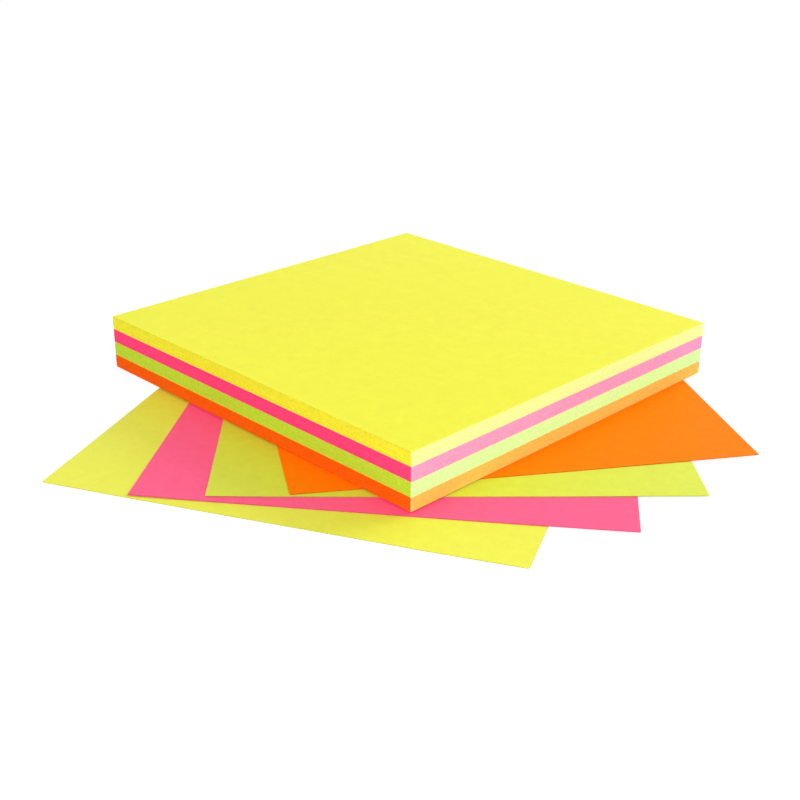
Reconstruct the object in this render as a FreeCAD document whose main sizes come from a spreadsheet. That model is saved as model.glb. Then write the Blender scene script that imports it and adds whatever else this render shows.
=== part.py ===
# A pad of square sticky notes in four colours, set down on four loose notes that are fanned out.
# Millimetres, +Z up. The origin is under the middle of the pad, on the surface that the notes lie on,
# and the pad's sides run along X and Y.
# The leaves of one colour stick to each other and are cut together, so each colour is one solid block.
# The loose notes are single leaves, one of each colour, each turned about Z and lying on the one below.
import FreeCAD, Part
import os
import Sketcher

BLOCKS_FROM_THE_BOTTOM = ["orange", "green", "pink", "yellow"]
LOOSE_FROM_THE_BOTTOM = ["yellow", "pink", "green", "orange"]

# Driving dimensions: alias, value in millimetres or degrees, and meaning
DRIVING_SIZES = [
    ("note_side", 76.0, "side of every note"),
    ("leaf_thickness", 0.1, "thickness of one loose note"),
    ("orange_block_height", 2.5, "the orange leaves together"),
    ("green_block_height", 2.5, "the green leaves together"),
    ("pink_block_height", 2.5, "the pink leaves together"),
    ("yellow_block_height", 2.4, "the yellow leaves together"),
    ("yellow_note_x", 8.7, "middle of the loose yellow note"),
    ("yellow_note_y", -20.4, "middle of the loose yellow note"),
    ("yellow_note_turn", 26.9, "turn of the loose yellow note from the pad"),
    ("pink_note_x", 11.4, "middle of the loose pink note"),
    ("pink_note_y", -11.3, "middle of the loose pink note"),
    ("pink_note_turn", 37.7, "turn of the loose pink note from the pad"),
    ("green_note_x", 11.9, "middle of the loose green note"),
    ("green_note_y", -2.8, "middle of the loose green note"),
    ("green_note_turn", 46.2, "turn of the loose green note from the pad"),
    ("orange_note_x", 10.9, "middle of the loose orange note"),
    ("orange_note_y", 5.5, "middle of the loose orange note"),
    ("orange_note_turn", 56.3, "turn of the loose orange note from the pad"),
]


def fill_sheet(doc):
    """Writes the driving dimensions into the document's spreadsheet."""
    sheet = doc.addObject("Spreadsheet::Sheet", "sizes")
    for row, (alias, value, meaning) in enumerate(DRIVING_SIZES, start=1):
        sheet.set(f"A{row}", str(value))
        sheet.setAlias(f"A{row}", alias)
        sheet.set(f"B{row}", meaning)
    doc.recompute()
    return sheet


def origin_plane(body, role):
    """The body's own origin plane with that role, such as XY_Plane."""
    return next(plane for plane in body.Origin.OriginFeatures if plane.Role == role)


def draw_square(body, name):
    """A square outline about the body's origin, whose side is the note's side."""
    outline = body.newObject("Sketcher::SketchObject", name)
    outline.AttachmentSupport = (origin_plane(body, "XY_Plane"), [""])
    outline.MapMode = "FlatFace"
    rough = 10.0
    corners = [
        FreeCAD.Vector(-rough, -rough, 0),
        FreeCAD.Vector(rough, -rough, 0),
        FreeCAD.Vector(rough, rough, 0),
        FreeCAD.Vector(-rough, rough, 0),
    ]
    for start, end in zip(corners, corners[1:] + corners[:1]):
        outline.addGeometry(Part.LineSegment(start, end), False)
    for edge in range(4):
        outline.addConstraint(Sketcher.Constraint("Coincident", edge, 2, (edge + 1) % 4, 1))
    for edge in (0, 2):
        outline.addConstraint(Sketcher.Constraint("Horizontal", edge))
    for edge in (1, 3):
        outline.addConstraint(Sketcher.Constraint("Vertical", edge))
    # The two opposite corners lie evenly about the sketch's origin
    outline.addConstraint(Sketcher.Constraint("Symmetric", 0, 1, 2, 1, -1, 1))
    for edge, label in ((0, "width"), (1, "depth")):
        side = outline.addConstraint(Sketcher.Constraint("Distance", edge, 2 * rough))
        outline.renameConstraint(side, label)
        outline.setExpression(f"Constraints.{label}", "sizes.note_side")
    return outline


def make_leaves(doc, name, height_alias):
    """A square prism from its own origin upwards: one leaf, or a block of leaves."""
    body = doc.addObject("PartDesign::Body", name)
    outline = draw_square(body, f"{name}_outline")
    leaves = body.newObject("PartDesign::Pad", f"{name}_leaves")
    leaves.Profile = outline
    leaves.setExpression("Length", f"sizes.{height_alias}")
    outline.Visibility = False
    return body


def make_loose_note(doc, colour, notes_below):
    """A single leaf that lies on the notes below it, at its own place and turn."""
    note = make_leaves(doc, f"loose_{colour}_note", "leaf_thickness")
    note.Placement.Rotation = FreeCAD.Rotation(FreeCAD.Vector(0, 0, 1), 1.0)
    note.setExpression("Placement.Base.x", f"sizes.{colour}_note_x")
    note.setExpression("Placement.Base.y", f"sizes.{colour}_note_y")
    note.setExpression("Placement.Base.z", f"{notes_below} * sizes.leaf_thickness")
    note.setExpression("Placement.Rotation.Angle", f"sizes.{colour}_note_turn")
    return note


def make_block(doc, colour, blocks_below):
    """One colour's leaves, on top of the loose notes and the blocks below it."""
    block = make_leaves(doc, f"{colour}_block", f"{colour}_block_height")
    under = [f"{len(LOOSE_FROM_THE_BOTTOM)} * sizes.leaf_thickness"]
    under += [f"sizes.{below}_block_height" for below in blocks_below]
    block.setExpression("Placement.Base.z", " + ".join(under))
    return block


def check(doc, pieces):
    """Stops with a message if anything in the document failed or a piece isn't one sound solid."""
    failed = [item.Name for item in doc.Objects if {"Invalid", "Error"} & set(item.State)]
    if failed:
        raise RuntimeError(f"these objects failed: {failed}")
    for piece in pieces:
        shape = piece.Shape
        if shape.isNull() or not shape.isValid() or len(shape.Solids) != 1:
            raise RuntimeError(f"{piece.Label} isn't one valid solid")


def main():
    doc = FreeCAD.newDocument("sticky_note_pad")
    fill_sheet(doc)
    pieces = []
    for notes_below, colour in enumerate(LOOSE_FROM_THE_BOTTOM):
        pieces.append(make_loose_note(doc, colour, notes_below))
    for level, colour in enumerate(BLOCKS_FROM_THE_BOTTOM):
        pieces.append(make_block(doc, colour, BLOCKS_FROM_THE_BOTTOM[:level]))
    doc.recompute()
    check(doc, pieces)
    os.makedirs("parts", exist_ok=True)
    for piece in pieces:
        piece.Shape.exportStep(f"parts/{piece.Label}.step")
        box = piece.Shape.BoundBox
        print(piece.Label, f"z {box.ZMin:.3f} to {box.ZMax:.3f}", f"volume {piece.Shape.Volume:.1f}")


main()
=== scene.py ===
# The looks of a pad of neon sticky notes, lying on four loose notes. Metres throughout, as in the frame.
import math

import bpy
import numpy as np
from mathutils import Matrix, Vector


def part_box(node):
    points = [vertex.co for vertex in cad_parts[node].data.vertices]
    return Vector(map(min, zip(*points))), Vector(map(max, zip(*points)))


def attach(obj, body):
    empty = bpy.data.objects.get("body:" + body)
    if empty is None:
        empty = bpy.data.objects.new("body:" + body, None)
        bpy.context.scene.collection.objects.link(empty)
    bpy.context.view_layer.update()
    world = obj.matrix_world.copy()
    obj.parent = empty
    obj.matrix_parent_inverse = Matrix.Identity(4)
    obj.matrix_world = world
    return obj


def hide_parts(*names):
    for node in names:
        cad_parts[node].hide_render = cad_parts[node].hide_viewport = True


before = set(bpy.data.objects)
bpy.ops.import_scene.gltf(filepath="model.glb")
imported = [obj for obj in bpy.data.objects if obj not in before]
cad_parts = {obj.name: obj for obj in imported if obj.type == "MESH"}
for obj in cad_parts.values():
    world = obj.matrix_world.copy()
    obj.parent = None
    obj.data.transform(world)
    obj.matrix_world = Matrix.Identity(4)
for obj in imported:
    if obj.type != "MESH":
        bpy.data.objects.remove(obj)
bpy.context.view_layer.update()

mm = 0.001
rng = np.random.default_rng(76)   # always the same leaves

# both lists run from the bottom up
blockNodes = ["orange_block", "green_block", "pink_block", "yellow_block"]
looseNodes = ["loose_yellow_note", "loose_pink_note", "loose_green_note", "loose_orange_note"]

bpy.context.scene.view_settings.view_transform = "Standard"


# Camera: on a ball of radius distance round lookAt, then rolled about its own line of sight

cameraLook = {
    "lookAt": (7.955 * mm, -10.07 * mm, 0.02 * mm),
    "azimuth": 44.524,      # degrees, 0 looks along +Y
    "elevation": 24.315,
    "roll": 0.815,
    "distance": 225.77 * mm,
    "lens": 57.87,          # mm on a 36 mm sensor
    "nearest": 5 * mm,
    "farthest": 20.0,
}


def addCamera(look):
    # back = (sin az cos el, -cos az cos el, sin el); right = Z x back; up = back x right
    azimuth, elevation = math.radians(look["azimuth"]), math.radians(look["elevation"])
    flat = math.cos(elevation)
    back = Vector((math.sin(azimuth) * flat, -math.cos(azimuth) * flat, math.sin(elevation)))
    right = Vector((0, 0, 1)).cross(back).normalized()
    up = back.cross(right)
    place = Vector(look["lookAt"]) + look["distance"] * back
    turn = Matrix((right, up, back)).transposed().to_4x4()
    roll = Matrix.Rotation(math.radians(look["roll"]), 4, "Z")
    camera = bpy.data.objects.new("camera", bpy.data.cameras.new("camera"))
    camera.matrix_world = Matrix.Translation(place) @ turn @ roll
    camera.data.lens = look["lens"]
    camera.data.clip_start = look["nearest"]
    camera.data.clip_end = look["farthest"]
    bpy.context.scene.collection.objects.link(camera)
    bpy.context.scene.camera = camera
    print("camera set")


# Node helpers

def newMaterial(name):
    # a material with one Principled shader on its output
    material = bpy.data.materials.new(name)
    material.use_nodes = True
    tree = material.node_tree
    tree.nodes.clear()
    shader = tree.nodes.new("ShaderNodeBsdfPrincipled")
    output = tree.nodes.new("ShaderNodeOutputMaterial")
    tree.links.new(shader.outputs["BSDF"], output.inputs["Surface"])
    return material, tree, shader


def addNode(tree, kind, settings=None, **inputs):
    # one node: settings are its properties, and inputs are numbers, colours or sockets to link.
    # An input goes by its name, or by its place as in0, in1 and so on where names repeat.
    node = tree.nodes.new(kind)
    for key, value in (settings or {}).items():
        setattr(node, key, value)
    for key, value in inputs.items():
        socket = node.inputs[int(key[2:]) if key.startswith("in") and key[2:].isdigit() else key]
        if isinstance(value, bpy.types.NodeSocket):
            tree.links.new(value, socket)
        else:
            socket.default_value = value
    return node


def addNoise(tree, coords, sizes, detail):
    # fractal noise centred on 0.5; sizes is how long its lumps are, one length or one for each axis
    scale = (1 / np.broadcast_to(sizes, 3)).tolist()
    mapping = addNode(tree, "ShaderNodeMapping", Vector=coords, Scale=scale)
    noise = addNode(tree, "ShaderNodeTexNoise", Vector=mapping.outputs["Vector"], Scale=1.0,
                    Detail=detail)
    return noise.outputs["Fac"]


def spread(tree, value, amount):
    # 1 + amount * (value - 0.5) * 2, a factor that varies evenly round 1
    node = addNode(tree, "ShaderNodeMapRange", {"clamp": False}, Value=value)
    node.inputs["To Min"].default_value = 1.0 - amount
    node.inputs["To Max"].default_value = 1.0 + amount
    return node.outputs["Result"]


def multiply(tree, first, second):
    # first times second, both single numbers
    node = addNode(tree, "ShaderNodeMath", {"operation": "MULTIPLY"}, in0=first, in1=second)
    return node.outputs["Value"]


def vectorMath(tree, operation, *inputs):
    # a sum or product of colours, channel by channel
    node = addNode(tree, "ShaderNodeVectorMath", {"operation": operation},
                   **{f"in{place}": value for place, value in enumerate(inputs)})
    return node.outputs["Vector"]


def dyedColour(tree, colour, coords, look):
    # each channel times 1 + depth * (1 - channel) * (2 noise - 1): what the dye takes out varies most
    dye = addNoise(tree, coords, look["dyeSize"], look["dyeDetail"])
    taken = [1.0 - channel for channel in colour]
    slope = [2 * look["dyeDepth"] * share for share in taken]
    start = [1.0 - look["dyeDepth"] * share for share in taken]
    return vectorMath(tree, "MULTIPLY", vectorMath(tree, "MULTIPLY_ADD", dye, slope, start), colour)


def tint(tree, colour, factor):
    # colour times factor, each channel alike
    node = addNode(tree, "ShaderNodeVectorMath", {"operation": "SCALE"}, in0=colour, Scale=factor)
    return node.outputs["Vector"]


# Paper: fluorescent note paper, its face and its cut sides

paperLook = {
    "cloudSize": 3.2 * mm,       # uneven formation of the sheet
    "cloudDetail": 3.0,          # finer layers in its noise
    "cloudDepth": 0.03,          # how far it lightens and darkens, as a share
    "grainSize": 0.28 * mm,      # single fibres
    "grainDetail": 4.0,
    "grainDepth": 0.05,
    "dyeSize": 1.6 * mm,         # where the dye lies thicker or thinner
    "dyeDetail": 3.0,
    "dyeDepth": 0.16,
    "fibreRelief": 0.012 * mm,
    "bumpStrength": 0.35,
    "roughness": 0.48,
    "gumRoughness": 0.32,        # the adhesive band on an underside
    "gumBand": (0.78, 0.97),     # where the band starts and ends, as shares of the leaf's side
    "gumFade": 0.005,            # the roughness changes over this share before and after both places
}
cutLook = {
    "streakLength": 5.0 * mm,    # how far a leaf keeps its tone along the cut
    "streakHeight": 0.1 * mm,    # one leaf
    "streakDetail": 2.0,
    "streakDepth": 0.10,
    "speckSize": 0.5 * mm,
    "speckDetail": 3.0,
    "speckDepth": 0.15,
    "dyeSize": 0.55 * mm,
    "dyeDetail": 3.0,
    "dyeDepth": 0.34,
    "highlightPaler": (0.06, 0.12, 0.12),        # added to the colour on a cut's rounded corners: a painted highlight along the corner edges
    "shade": {"pad": 1.0, "loose": 0.62},   # painted shadow: the thin edge of one loose leaf is darkened to stand in for the shadow beneath it
    "relief": 0.02 * mm,
    "bumpStrength": 0.5,
    "roughness": 0.95,
    "gloss": 0.05,
}
cutColours = {     # linear; lit and shaded copies of each cut: the across colour, on the ±X sides, is painted paler as painted light and sheen, and the along colour, on the ±Y sides, is painted deeper as painted shade
    "yellow": {"along": (0.605, 0.545, 0.025), "across": (0.79, 0.80, 0.30)},
    "pink": {"along": (0.70, 0.041, 0.136), "across": (0.76, 0.30, 0.475)},
    "green": {"along": (0.37, 0.475, 0.027), "across": (0.59, 0.86, 0.335)},
    "orange": {"along": (0.645, 0.08, 0.001), "across": (0.73, 0.45, 0.085)},
}
faceColours = {    # linear; a loose leaf is set a little paler than those in the pad, mostly in blue: painted sheen
    "pad": {"yellow": (0.81, 0.80, 0.024), "pink": (1.0, 0.10, 0.24), "green": (0.66, 0.73, 0.02),
            "orange": (1.0, 0.20, 0.001)},
    "loose": {"yellow": (0.77, 0.78, 0.06), "pink": (1.0, 0.11, 0.25), "green": (0.655, 0.73, 0.045),
              "orange": (1.0, 0.21, 0.001)},
}
faceGloss = {"yellow": 0.26, "pink": 0.1, "green": 0.3, "orange": 0.03}   # how strongly each shines
faceSlot, undersideSlot, shadedCutSlot, litCutSlot = range(4)   # a piece's papers, in this order


def makeFacePaper(name, colour, gloss, look, gummed=False):
    # the dyed colour times cloud and grain, with the grain's fibres raised a little
    material, tree, shader = newMaterial(name)
    coords = addNode(tree, "ShaderNodeTexCoord").outputs["Object"]
    cloud = addNoise(tree, coords, look["cloudSize"], look["cloudDetail"])
    grain = addNoise(tree, coords, look["grainSize"], look["grainDetail"])
    factor = multiply(tree, spread(tree, cloud, look["cloudDepth"]),
                      spread(tree, grain, look["grainDepth"]))
    dyed = dyedColour(tree, colour, coords, look)
    tree.links.new(tint(tree, dyed, factor), shader.inputs["Base Color"])
    bump = addNode(tree, "ShaderNodeBump", Strength=look["bumpStrength"], Distance=look["fibreRelief"],
                   Height=grain)
    tree.links.new(bump.outputs["Normal"], shader.inputs["Normal"])
    shader.inputs["Specular IOR Level"].default_value = gloss
    if gummed:
        addGum(tree, shader, look)
    else:
        shader.inputs["Roughness"].default_value = look["roughness"]
    return material


def addGum(tree, shader, look):
    # roughness falls inside a band along one side of the leaf, read from the leaf's own plan
    plan = addNode(tree, "ShaderNodeUVMap", {"uv_map": "leafPlan"}).outputs["UV"]
    across = addNode(tree, "ShaderNodeSeparateXYZ", Vector=plan).outputs["Y"]
    ramp = addNode(tree, "ShaderNodeValToRGB", Fac=across)
    dry, tacky = (look["roughness"],) * 3 + (1,), (look["gumRoughness"],) * 3 + (1,)
    (start, end), fade = look["gumBand"], look["gumFade"]
    stops = [(start - fade, dry), (start + fade, tacky), (end - fade, tacky), (end + fade, dry)]
    ramp.color_ramp.elements.remove(ramp.color_ramp.elements[0])
    for place, value in stops[1:]:
        ramp.color_ramp.elements.new(place)
    for element, (place, value) in zip(ramp.color_ramp.elements, stops):
        element.position = place
        element.color = value
    tree.links.new(ramp.outputs["Color"], shader.inputs["Roughness"])


def makeCutPaper(name, colour, look):
    # the dyed colour, paler on the rounded corners as a painted highlight, times streaks along the
    # leaves and specks
    material, tree, shader = newMaterial(name)
    coords = addNode(tree, "ShaderNodeTexCoord").outputs["Object"]
    streakSizes = (look["streakLength"], look["streakLength"], look["streakHeight"])
    streak = addNoise(tree, coords, streakSizes, look["streakDetail"])
    speck = addNoise(tree, coords, look["speckSize"], look["speckDetail"])
    factor = multiply(tree, spread(tree, streak, look["streakDepth"]),
                      spread(tree, speck, look["speckDepth"]))
    # 1 on the rounded corners of the cut, where the colour is made paler as a painted highlight
    paintedHighlight = addNode(tree, "ShaderNodeAttribute", {"attribute_name": "cornerWear"}).outputs["Fac"]
    dyed = dyedColour(tree, colour, coords, look)
    highlighted = vectorMath(tree, "MULTIPLY_ADD", paintedHighlight, look["highlightPaler"], dyed)
    tree.links.new(tint(tree, highlighted, factor), shader.inputs["Base Color"])
    bump = addNode(tree, "ShaderNodeBump", Strength=look["bumpStrength"], Distance=look["relief"],
                   Height=streak)
    tree.links.new(bump.outputs["Normal"], shader.inputs["Normal"])
    shader.inputs["Specular IOR Level"].default_value = look["gloss"]
    shader.inputs["Roughness"].default_value = look["roughness"]
    return material


def makePapers(kind):
    # for each colour, a piece's four papers in the order of their slots
    papers = {}
    # a factor that darkens a loose leaf's cut edges as painted shadow
    shade = cutLook["shade"][kind]
    for name, cuts in cutColours.items():
        label = f"{kind}{name.capitalize()}"
        face, gloss = faceColours[kind][name], faceGloss[name]
        # along is the shaded copy of the cut and across the lit copy: painted shade and painted light
        along, across = ([shade * channel for channel in cuts[way]] for way in ("along", "across"))
        papers[name] = [
            makeFacePaper(f"{label}Face", face, gloss, paperLook),
            makeFacePaper(f"{label}Underside", face, gloss, paperLook, gummed=True),
            makeCutPaper(f"{label}CutAlong", along, cutLook),
            makeCutPaper(f"{label}CutAcross", across, cutLook),
        ]
    print("papers made:", kind, ", ".join(papers))
    return papers


# Leaves: a profile (the cut stack's side and its two flat faces) carried round a square path

blockShape = {
    "leafCount": 25,
    "cornerRadius": 0.25 * mm,
    "pointsPerSide": 36,
    "pointsPerCorner": 4,
    "grooveDepth": 0.018 * mm,     # between two leaves
    "grooveShare": 0.16,           # of a leaf's thickness, at its top and at its bottom
    "leafSlip": 0.035 * mm,        # how far a leaf may lie back from the cut
    "leafWave": 0.012 * mm,        # how that changes along a side
    "waveCounts": (5, 11, 23),     # waves once round the leaf, in three sizes
    "ringCount": 14,               # rows of points from the cut side to the middle of a face
    "footSetBack": 0.0,            # of the lowest leaf
    "crownSetBack": [0.0],         # of the topmost leaves, from the top
}
blockShapes = {
    "orange_block": dict(blockShape, footSetBack=0.18 * mm),
    "green_block": blockShape,
    "pink_block": blockShape,
    "yellow_block": dict(blockShape, crownSetBack=[0.08 * mm, 0.04 * mm]),
}
looseShape = dict(blockShape, leafCount=1, cornerRadius=0.2 * mm, leafSlip=0.0, leafWave=0.02 * mm,
                  grooveDepth=0.01 * mm, pointsPerSide=44, ringCount=40)


def turned(spots, angle):
    # (x, y) becomes (x cos angle - y sin angle, x sin angle + y cos angle)
    cosine, sine = math.cos(angle), math.sin(angle)
    return spots @ np.array([[cosine, sine], [-sine, cosine]])


def squarePath(side, shape):
    # points, outward normals and the painted highlight: one side at y = -half, then its corner's arc,
    # which is centre + radius * (cos a, sin a) with a from -90 to 0 degrees, where the painted highlight
    # is 1; both come again at each quarter turn
    half, radius = side / 2, shape["cornerRadius"]
    along = np.linspace(-(half - radius), half - radius, shape["pointsPerSide"])
    straight = np.stack([along, np.full_like(along, -half)], axis=1)
    angle = np.linspace(-math.pi / 2, 0, shape["pointsPerCorner"] + 2)[1:-1]
    outward = np.stack([np.cos(angle), np.sin(angle)], axis=1)
    corner = np.array([half - radius, -(half - radius)]) + radius * outward
    points = np.concatenate([straight, corner])
    normals = np.concatenate([np.tile([0.0, -1.0], (len(along), 1)), outward])
    paintedHighlight = np.concatenate([np.zeros(len(along)), np.ones(len(angle))])
    turns = [quarter * math.pi / 2 for quarter in range(4)]
    path = np.concatenate([turned(points, turn) for turn in turns])
    return path, np.concatenate([turned(normals, turn) for turn in turns]), np.tile(paintedHighlight, len(turns))


def leafInsets(shape, pathLength):
    # inset(leaf, s) = leafSlip * random^2 + leafWave * (1 + mean of sin(count * s + random phase)),
    # plus the set-back of the lowest leaf and of the topmost ones
    leaves, counts = shape["leafCount"], shape["waveCounts"]
    slip = shape["leafSlip"] * rng.random((leaves, 1)) ** 2
    around = np.linspace(0, 2 * math.pi, pathLength, endpoint=False)
    waves = sum(np.sin(count * around + rng.random((leaves, 1)) * 2 * math.pi) for count in counts)
    insets = slip + shape["leafWave"] * (1 + waves / len(counts))
    insets[0] += shape["footSetBack"]
    insets[::-1][:len(shape["crownSetBack"])] += np.array(shape["crownSetBack"])[:, None]
    return insets


def leavesSurface(place, shape):
    # rows of points from the underside's middle, up the cut side and back to the middle of the face.
    # A side row is path - normal * (inset + groove), with the groove only at a leaf's two faces, and a
    # flat row is the lowest or highest side row times a share that falls evenly to 0 at the pole.
    path, normals, paintedHighlight = squarePath(place["side"], shape)
    insets = leafInsets(shape, len(path))
    low, high, leaves = place["low"], place["high"], shape["leafCount"]
    groove, share = shape["grooveDepth"], shape["grooveShare"]
    steps = np.array([0.0, share, 1 - share, 1.0])
    grooves = np.array([groove, 0.0, 0.0, groove])
    rowInset = np.repeat(insets, len(steps), axis=0) + np.tile(grooves, leaves)[:, None]
    rowHeight = ((np.arange(leaves)[:, None] + steps) / leaves * (high - low) + low).ravel()
    wall = path - normals * rowInset[..., None]
    shrink = np.linspace(1, 0, shape["ringCount"] + 1)[1:-1]
    underside = shrink[::-1, None, None] * wall[0]
    face = shrink[:, None, None] * wall[-1]
    plan = np.concatenate([underside, wall, face])
    height = np.concatenate([np.full(len(shrink), low), rowHeight, np.full(len(shrink), high)])
    height = np.repeat(height[:, None], len(path), axis=1)
    rows = np.concatenate([plan, height[..., None]], axis=2)
    poles = [[0, 0, low], [0, 0, high]]
    points = np.concatenate([rows.reshape(-1, 3), poles])
    pointHighlight = np.append(np.tile(paintedHighlight, len(rows)), [0, 0])
    faces, slots = leavesFaces(len(rows), len(shrink), normals)
    return points, pointHighlight, faces, slots


def leavesFaces(rowCount, ringRows, normals):
    # quads between neighbouring rows, closed round the path, and a fan of triangles at each pole
    pathCount = len(normals)
    spot = np.arange(pathCount)
    following = np.roll(spot, -1)
    start = np.arange(rowCount - 1)[:, None] * pathCount
    quads = np.stack([start + spot, start + following,
                      start + pathCount + following, start + pathCount + spot], axis=-1)
    # the ±X sides take the lit copy of the cut and the ±Y sides the shaded copy: painted light and
    # painted shade
    cutSlots = np.where(np.abs(normals[:, 0]) > np.abs(normals[:, 1]), litCutSlot, shadedCutSlot)
    slots = np.tile(cutSlots, (rowCount - 1, 1))
    slots[:ringRows] = undersideSlot
    slots[-ringRows:] = faceSlot
    lastRow, lowPole = (rowCount - 1) * pathCount, rowCount * pathCount
    under = np.stack([following, spot, np.full(pathCount, lowPole)], axis=1)
    over = np.stack([lastRow + spot, lastRow + following, np.full(pathCount, lowPole + 1)], axis=1)
    faces = quads.reshape(-1, 4).tolist() + under.tolist() + over.tolist()
    return faces, np.concatenate([slots.ravel(), np.repeat([undersideSlot, faceSlot], pathCount)])


def addPiece(name, node, papers, place, shape, lift):
    # place holds the side, the heights, the middle and the turn; lift(spots) is added to the heights
    points, paintedHighlight, faces, slots = leavesSurface(place, shape)
    plan = points[:, :2] / place["side"] + 0.5   # from 0 to 1 across the leaf
    points[:, :2] = turned(points[:, :2], place["turn"]) + place["middle"]
    points[:, 2] += lift(points[:, :2])
    mesh = bpy.data.meshes.new(name)
    mesh.from_pydata(points.tolist(), [], faces)
    mesh.polygons.foreach_set("material_index", slots.astype(np.int32))
    cornerPoints = np.empty(len(mesh.loops), dtype=np.int32)
    mesh.loops.foreach_get("vertex_index", cornerPoints)
    leafPlan = mesh.uv_layers.new(name="leafPlan")
    leafPlan.uv.foreach_set("vector", plan[cornerPoints].astype(np.float32).ravel())
    # 1 on the corner arcs, where the cut is painted paler as a highlight
    cornerWear = mesh.attributes.new("cornerWear", "FLOAT", "POINT")
    cornerWear.data.foreach_set("value", paintedHighlight.astype(np.float32))
    for paper in papers:
        mesh.materials.append(paper)
    mesh.update()
    piece = bpy.data.objects.new(name, mesh)
    bpy.context.scene.collection.objects.link(piece)
    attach(piece, "root")
    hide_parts(node)


def placeOf(node):
    # the square's heights, middle, side and turn, read from the CAD node's box and one of its corners;
    # the turn is from 0 to 90 degrees
    low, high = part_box(node)
    middle = np.array([(low.x + high.x) / 2, (low.y + high.y) / 2])
    corner = np.array(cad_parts[node].data.vertices[0].co[:2]) - middle
    turn = (math.atan2(corner[1], corner[0]) - math.pi / 4) % (math.pi / 2)
    side = math.hypot(*corner) * math.sqrt(2)
    return {"low": low.z, "high": high.z, "middle": middle, "turn": turn, "side": side}


# Curl: the loose notes' free corners stand up a little, and each note rides on those below it

curlLook = {
    "cornerLift": {"loose_yellow_note": 0.16 * mm, "loose_pink_note": 0.12 * mm,
                   "loose_green_note": 0.1 * mm, "loose_orange_note": 0.1 * mm},
    "cornerPower": 3.0,       # how close to the corner the lift stays
    "pressedEdge": 22 * mm,   # from the pad's side to where a note is free
}


def smoothStep(value):
    # 3 value^2 - 2 value^3, from 0 to 1
    value = np.clip(value, 0, 1)
    return value * value * (3 - 2 * value)


def makeCornerLift(place, amount, padHalf):
    # amount * |u v|^power in the note's own plan, times a smooth step outwards from the pad's footprint
    def lift(spots):
        share = np.abs(turned(spots - place["middle"], -place["turn"])) / (place["side"] / 2)
        outside = np.linalg.norm(np.maximum(np.abs(spots) - padHalf, 0), axis=1)
        free = smoothStep(outside / curlLook["pressedEdge"])
        return amount * np.prod(np.clip(share, 0, 1), axis=1) ** curlLook["cornerPower"] * free
    return lift


def addLooseNotes(papers):
    # each note takes on its own corners' lift and that of every note below it
    padHalf = placeOf(blockNodes[0])["side"] / 2
    lifts = []
    for node in looseNodes:
        colour = node.split("_")[1]
        place = placeOf(node)
        lifts.append(makeCornerLift(place, curlLook["cornerLift"][node], padHalf))
        addPiece(f"{colour}LooseLeaf", node, papers[colour], place, looseShape,
                 lambda spots: sum(lift(spots) for lift in lifts))
        print("loose note made:", colour, "turned", round(math.degrees(place["turn"]), 1), "degrees")


def addBlocks(papers):
    # the blocks lie flat, so their lift is 0
    for node in blockNodes:
        colour = node.split("_")[0]
        addPiece(f"{colour}Leaves", node, papers[colour], placeOf(node), blockShapes[node],
                 lambda spots: 0.0)
        print("block made:", colour)


# Stage: a pale floor and world that the camera sees as white, a low soft key from +Y and three fills

stageLook = {
    "floorSize": 6.0,
    "floorDrop": 0.02 * mm,       # under the lowest note
    "floorColour": (0.86, 0.86, 0.86),
    "floorRoughness": 0.9,
    "floorGloss": 0.0,
    "floorWhite": 1.1,            # strength of the plain white that the camera sees
    "floorWhiteShare": 0.8,       # of what the camera sees, the rest being the floor's own colour
    "domeColour": (1.0, 1.0, 1.0),
    "domeStrength": 0.675,
    "domeWhite": 1.0,
    "domeWhiteShare": 1.0,
}
lampLook = {   # azimuth counts from +X towards +Y, in degrees
    "key": {"azimuth": 78, "elevation": 20, "distance": 0.6, "size": 0.42, "power": 3.5},
    "rightFill": {"azimuth": -28, "elevation": 5, "distance": 0.4, "size": 0.12, "power": 0.5},
    "leftFill": {"azimuth": 292, "elevation": 12, "distance": 0.4, "size": 0.12, "power": 1.02},
    "farFill": {"azimuth": 196, "elevation": 5, "distance": 0.4, "size": 0.14, "power": 0.42},
}


def whiteToCamera(tree, share):
    # share where the ray comes from the camera, a mirror or glass, and 0 where it carries light
    path = addNode(tree, "ShaderNodeLightPath")
    glossy = addNode(tree, "ShaderNodeMath", {"operation": "MAXIMUM"},
                     in0=path.outputs["Is Camera Ray"], in1=path.outputs["Is Glossy Ray"])
    seen = addNode(tree, "ShaderNodeMath", {"operation": "MAXIMUM"},
                   in0=glossy.outputs["Value"], in1=path.outputs["Is Transmission Ray"])
    return multiply(tree, seen.outputs["Value"], share)


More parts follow.
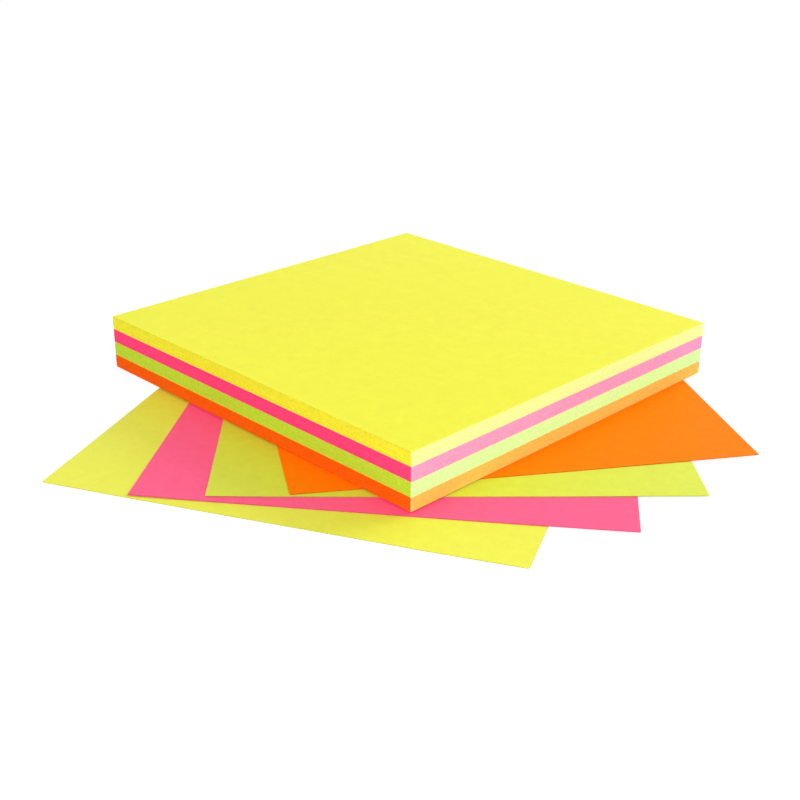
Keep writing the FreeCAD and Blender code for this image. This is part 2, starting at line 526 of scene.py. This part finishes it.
def addFloor(look):
    # a square under the notes, its own colour mixed with plain white for the camera
    half = look["floorSize"] / 2
    mesh = bpy.data.meshes.new("floor")
    corners = [(-half, -half), (half, -half), (half, half), (-half, half)]
    mesh.from_pydata([(x, y, -look["floorDrop"]) for x, y in corners], [], [(0, 1, 2, 3)])
    material, tree, shader = newMaterial("paleFloor")
    shader.inputs["Base Color"].default_value = (*look["floorColour"], 1)
    shader.inputs["Roughness"].default_value = look["floorRoughness"]
    shader.inputs["Specular IOR Level"].default_value = look["floorGloss"]
    white = addNode(tree, "ShaderNodeEmission", Strength=look["floorWhite"])
    mix = addNode(tree, "ShaderNodeMixShader", Fac=whiteToCamera(tree, look["floorWhiteShare"]),
                  in1=shader.outputs["BSDF"], in2=white.outputs["Emission"])
    output = next(node for node in tree.nodes if node.type == "OUTPUT_MATERIAL")
    tree.links.new(mix.outputs["Shader"], output.inputs["Surface"])
    mesh.materials.append(material)
    floor = bpy.data.objects.new("floor", mesh)
    bpy.context.scene.collection.objects.link(floor)


def addWorld(look):
    # an even dome of light, which the camera sees as plain white
    world = bpy.data.worlds.new("dome")
    world.use_nodes = True
    tree = world.node_tree
    tree.nodes.clear()
    dome = addNode(tree, "ShaderNodeBackground", Color=(*look["domeColour"], 1),
                   Strength=look["domeStrength"])
    white = addNode(tree, "ShaderNodeBackground", Color=(1, 1, 1, 1), Strength=look["domeWhite"])
    mix = addNode(tree, "ShaderNodeMixShader", Fac=whiteToCamera(tree, look["domeWhiteShare"]),
                  in1=dome.outputs["Background"], in2=white.outputs["Background"])
    addNode(tree, "ShaderNodeOutputWorld", Surface=mix.outputs["Shader"])
    bpy.context.scene.world = world


def addLamp(name, look):
    # a square lamp at distance * (cos az cos el, sin az cos el, sin el), facing the origin
    azimuth, elevation = math.radians(look["azimuth"]), math.radians(look["elevation"])
    flat = math.cos(elevation)
    direction = Vector((math.cos(azimuth) * flat, math.sin(azimuth) * flat, math.sin(elevation)))
    lamp = bpy.data.lights.new(name, "AREA")
    lamp.size = look["size"]
    lamp.energy = look["power"]
    holder = bpy.data.objects.new(name, lamp)
    turn = direction.to_track_quat("Z", "Y").to_matrix().to_4x4()
    holder.matrix_world = Matrix.Translation(direction * look["distance"]) @ turn
    bpy.context.scene.collection.objects.link(holder)


def addStage():
    # the floor, the world and the lamps
    addFloor(stageLook)
    addWorld(stageLook)
    for name, look in lampLook.items():
        addLamp(name, look)
    print("stage and lamps set")


addCamera(cameraLook)
addLooseNotes(makePapers("loose"))
addBlocks(makePapers("pad"))
addStage()

bpy.context.view_layer.update()
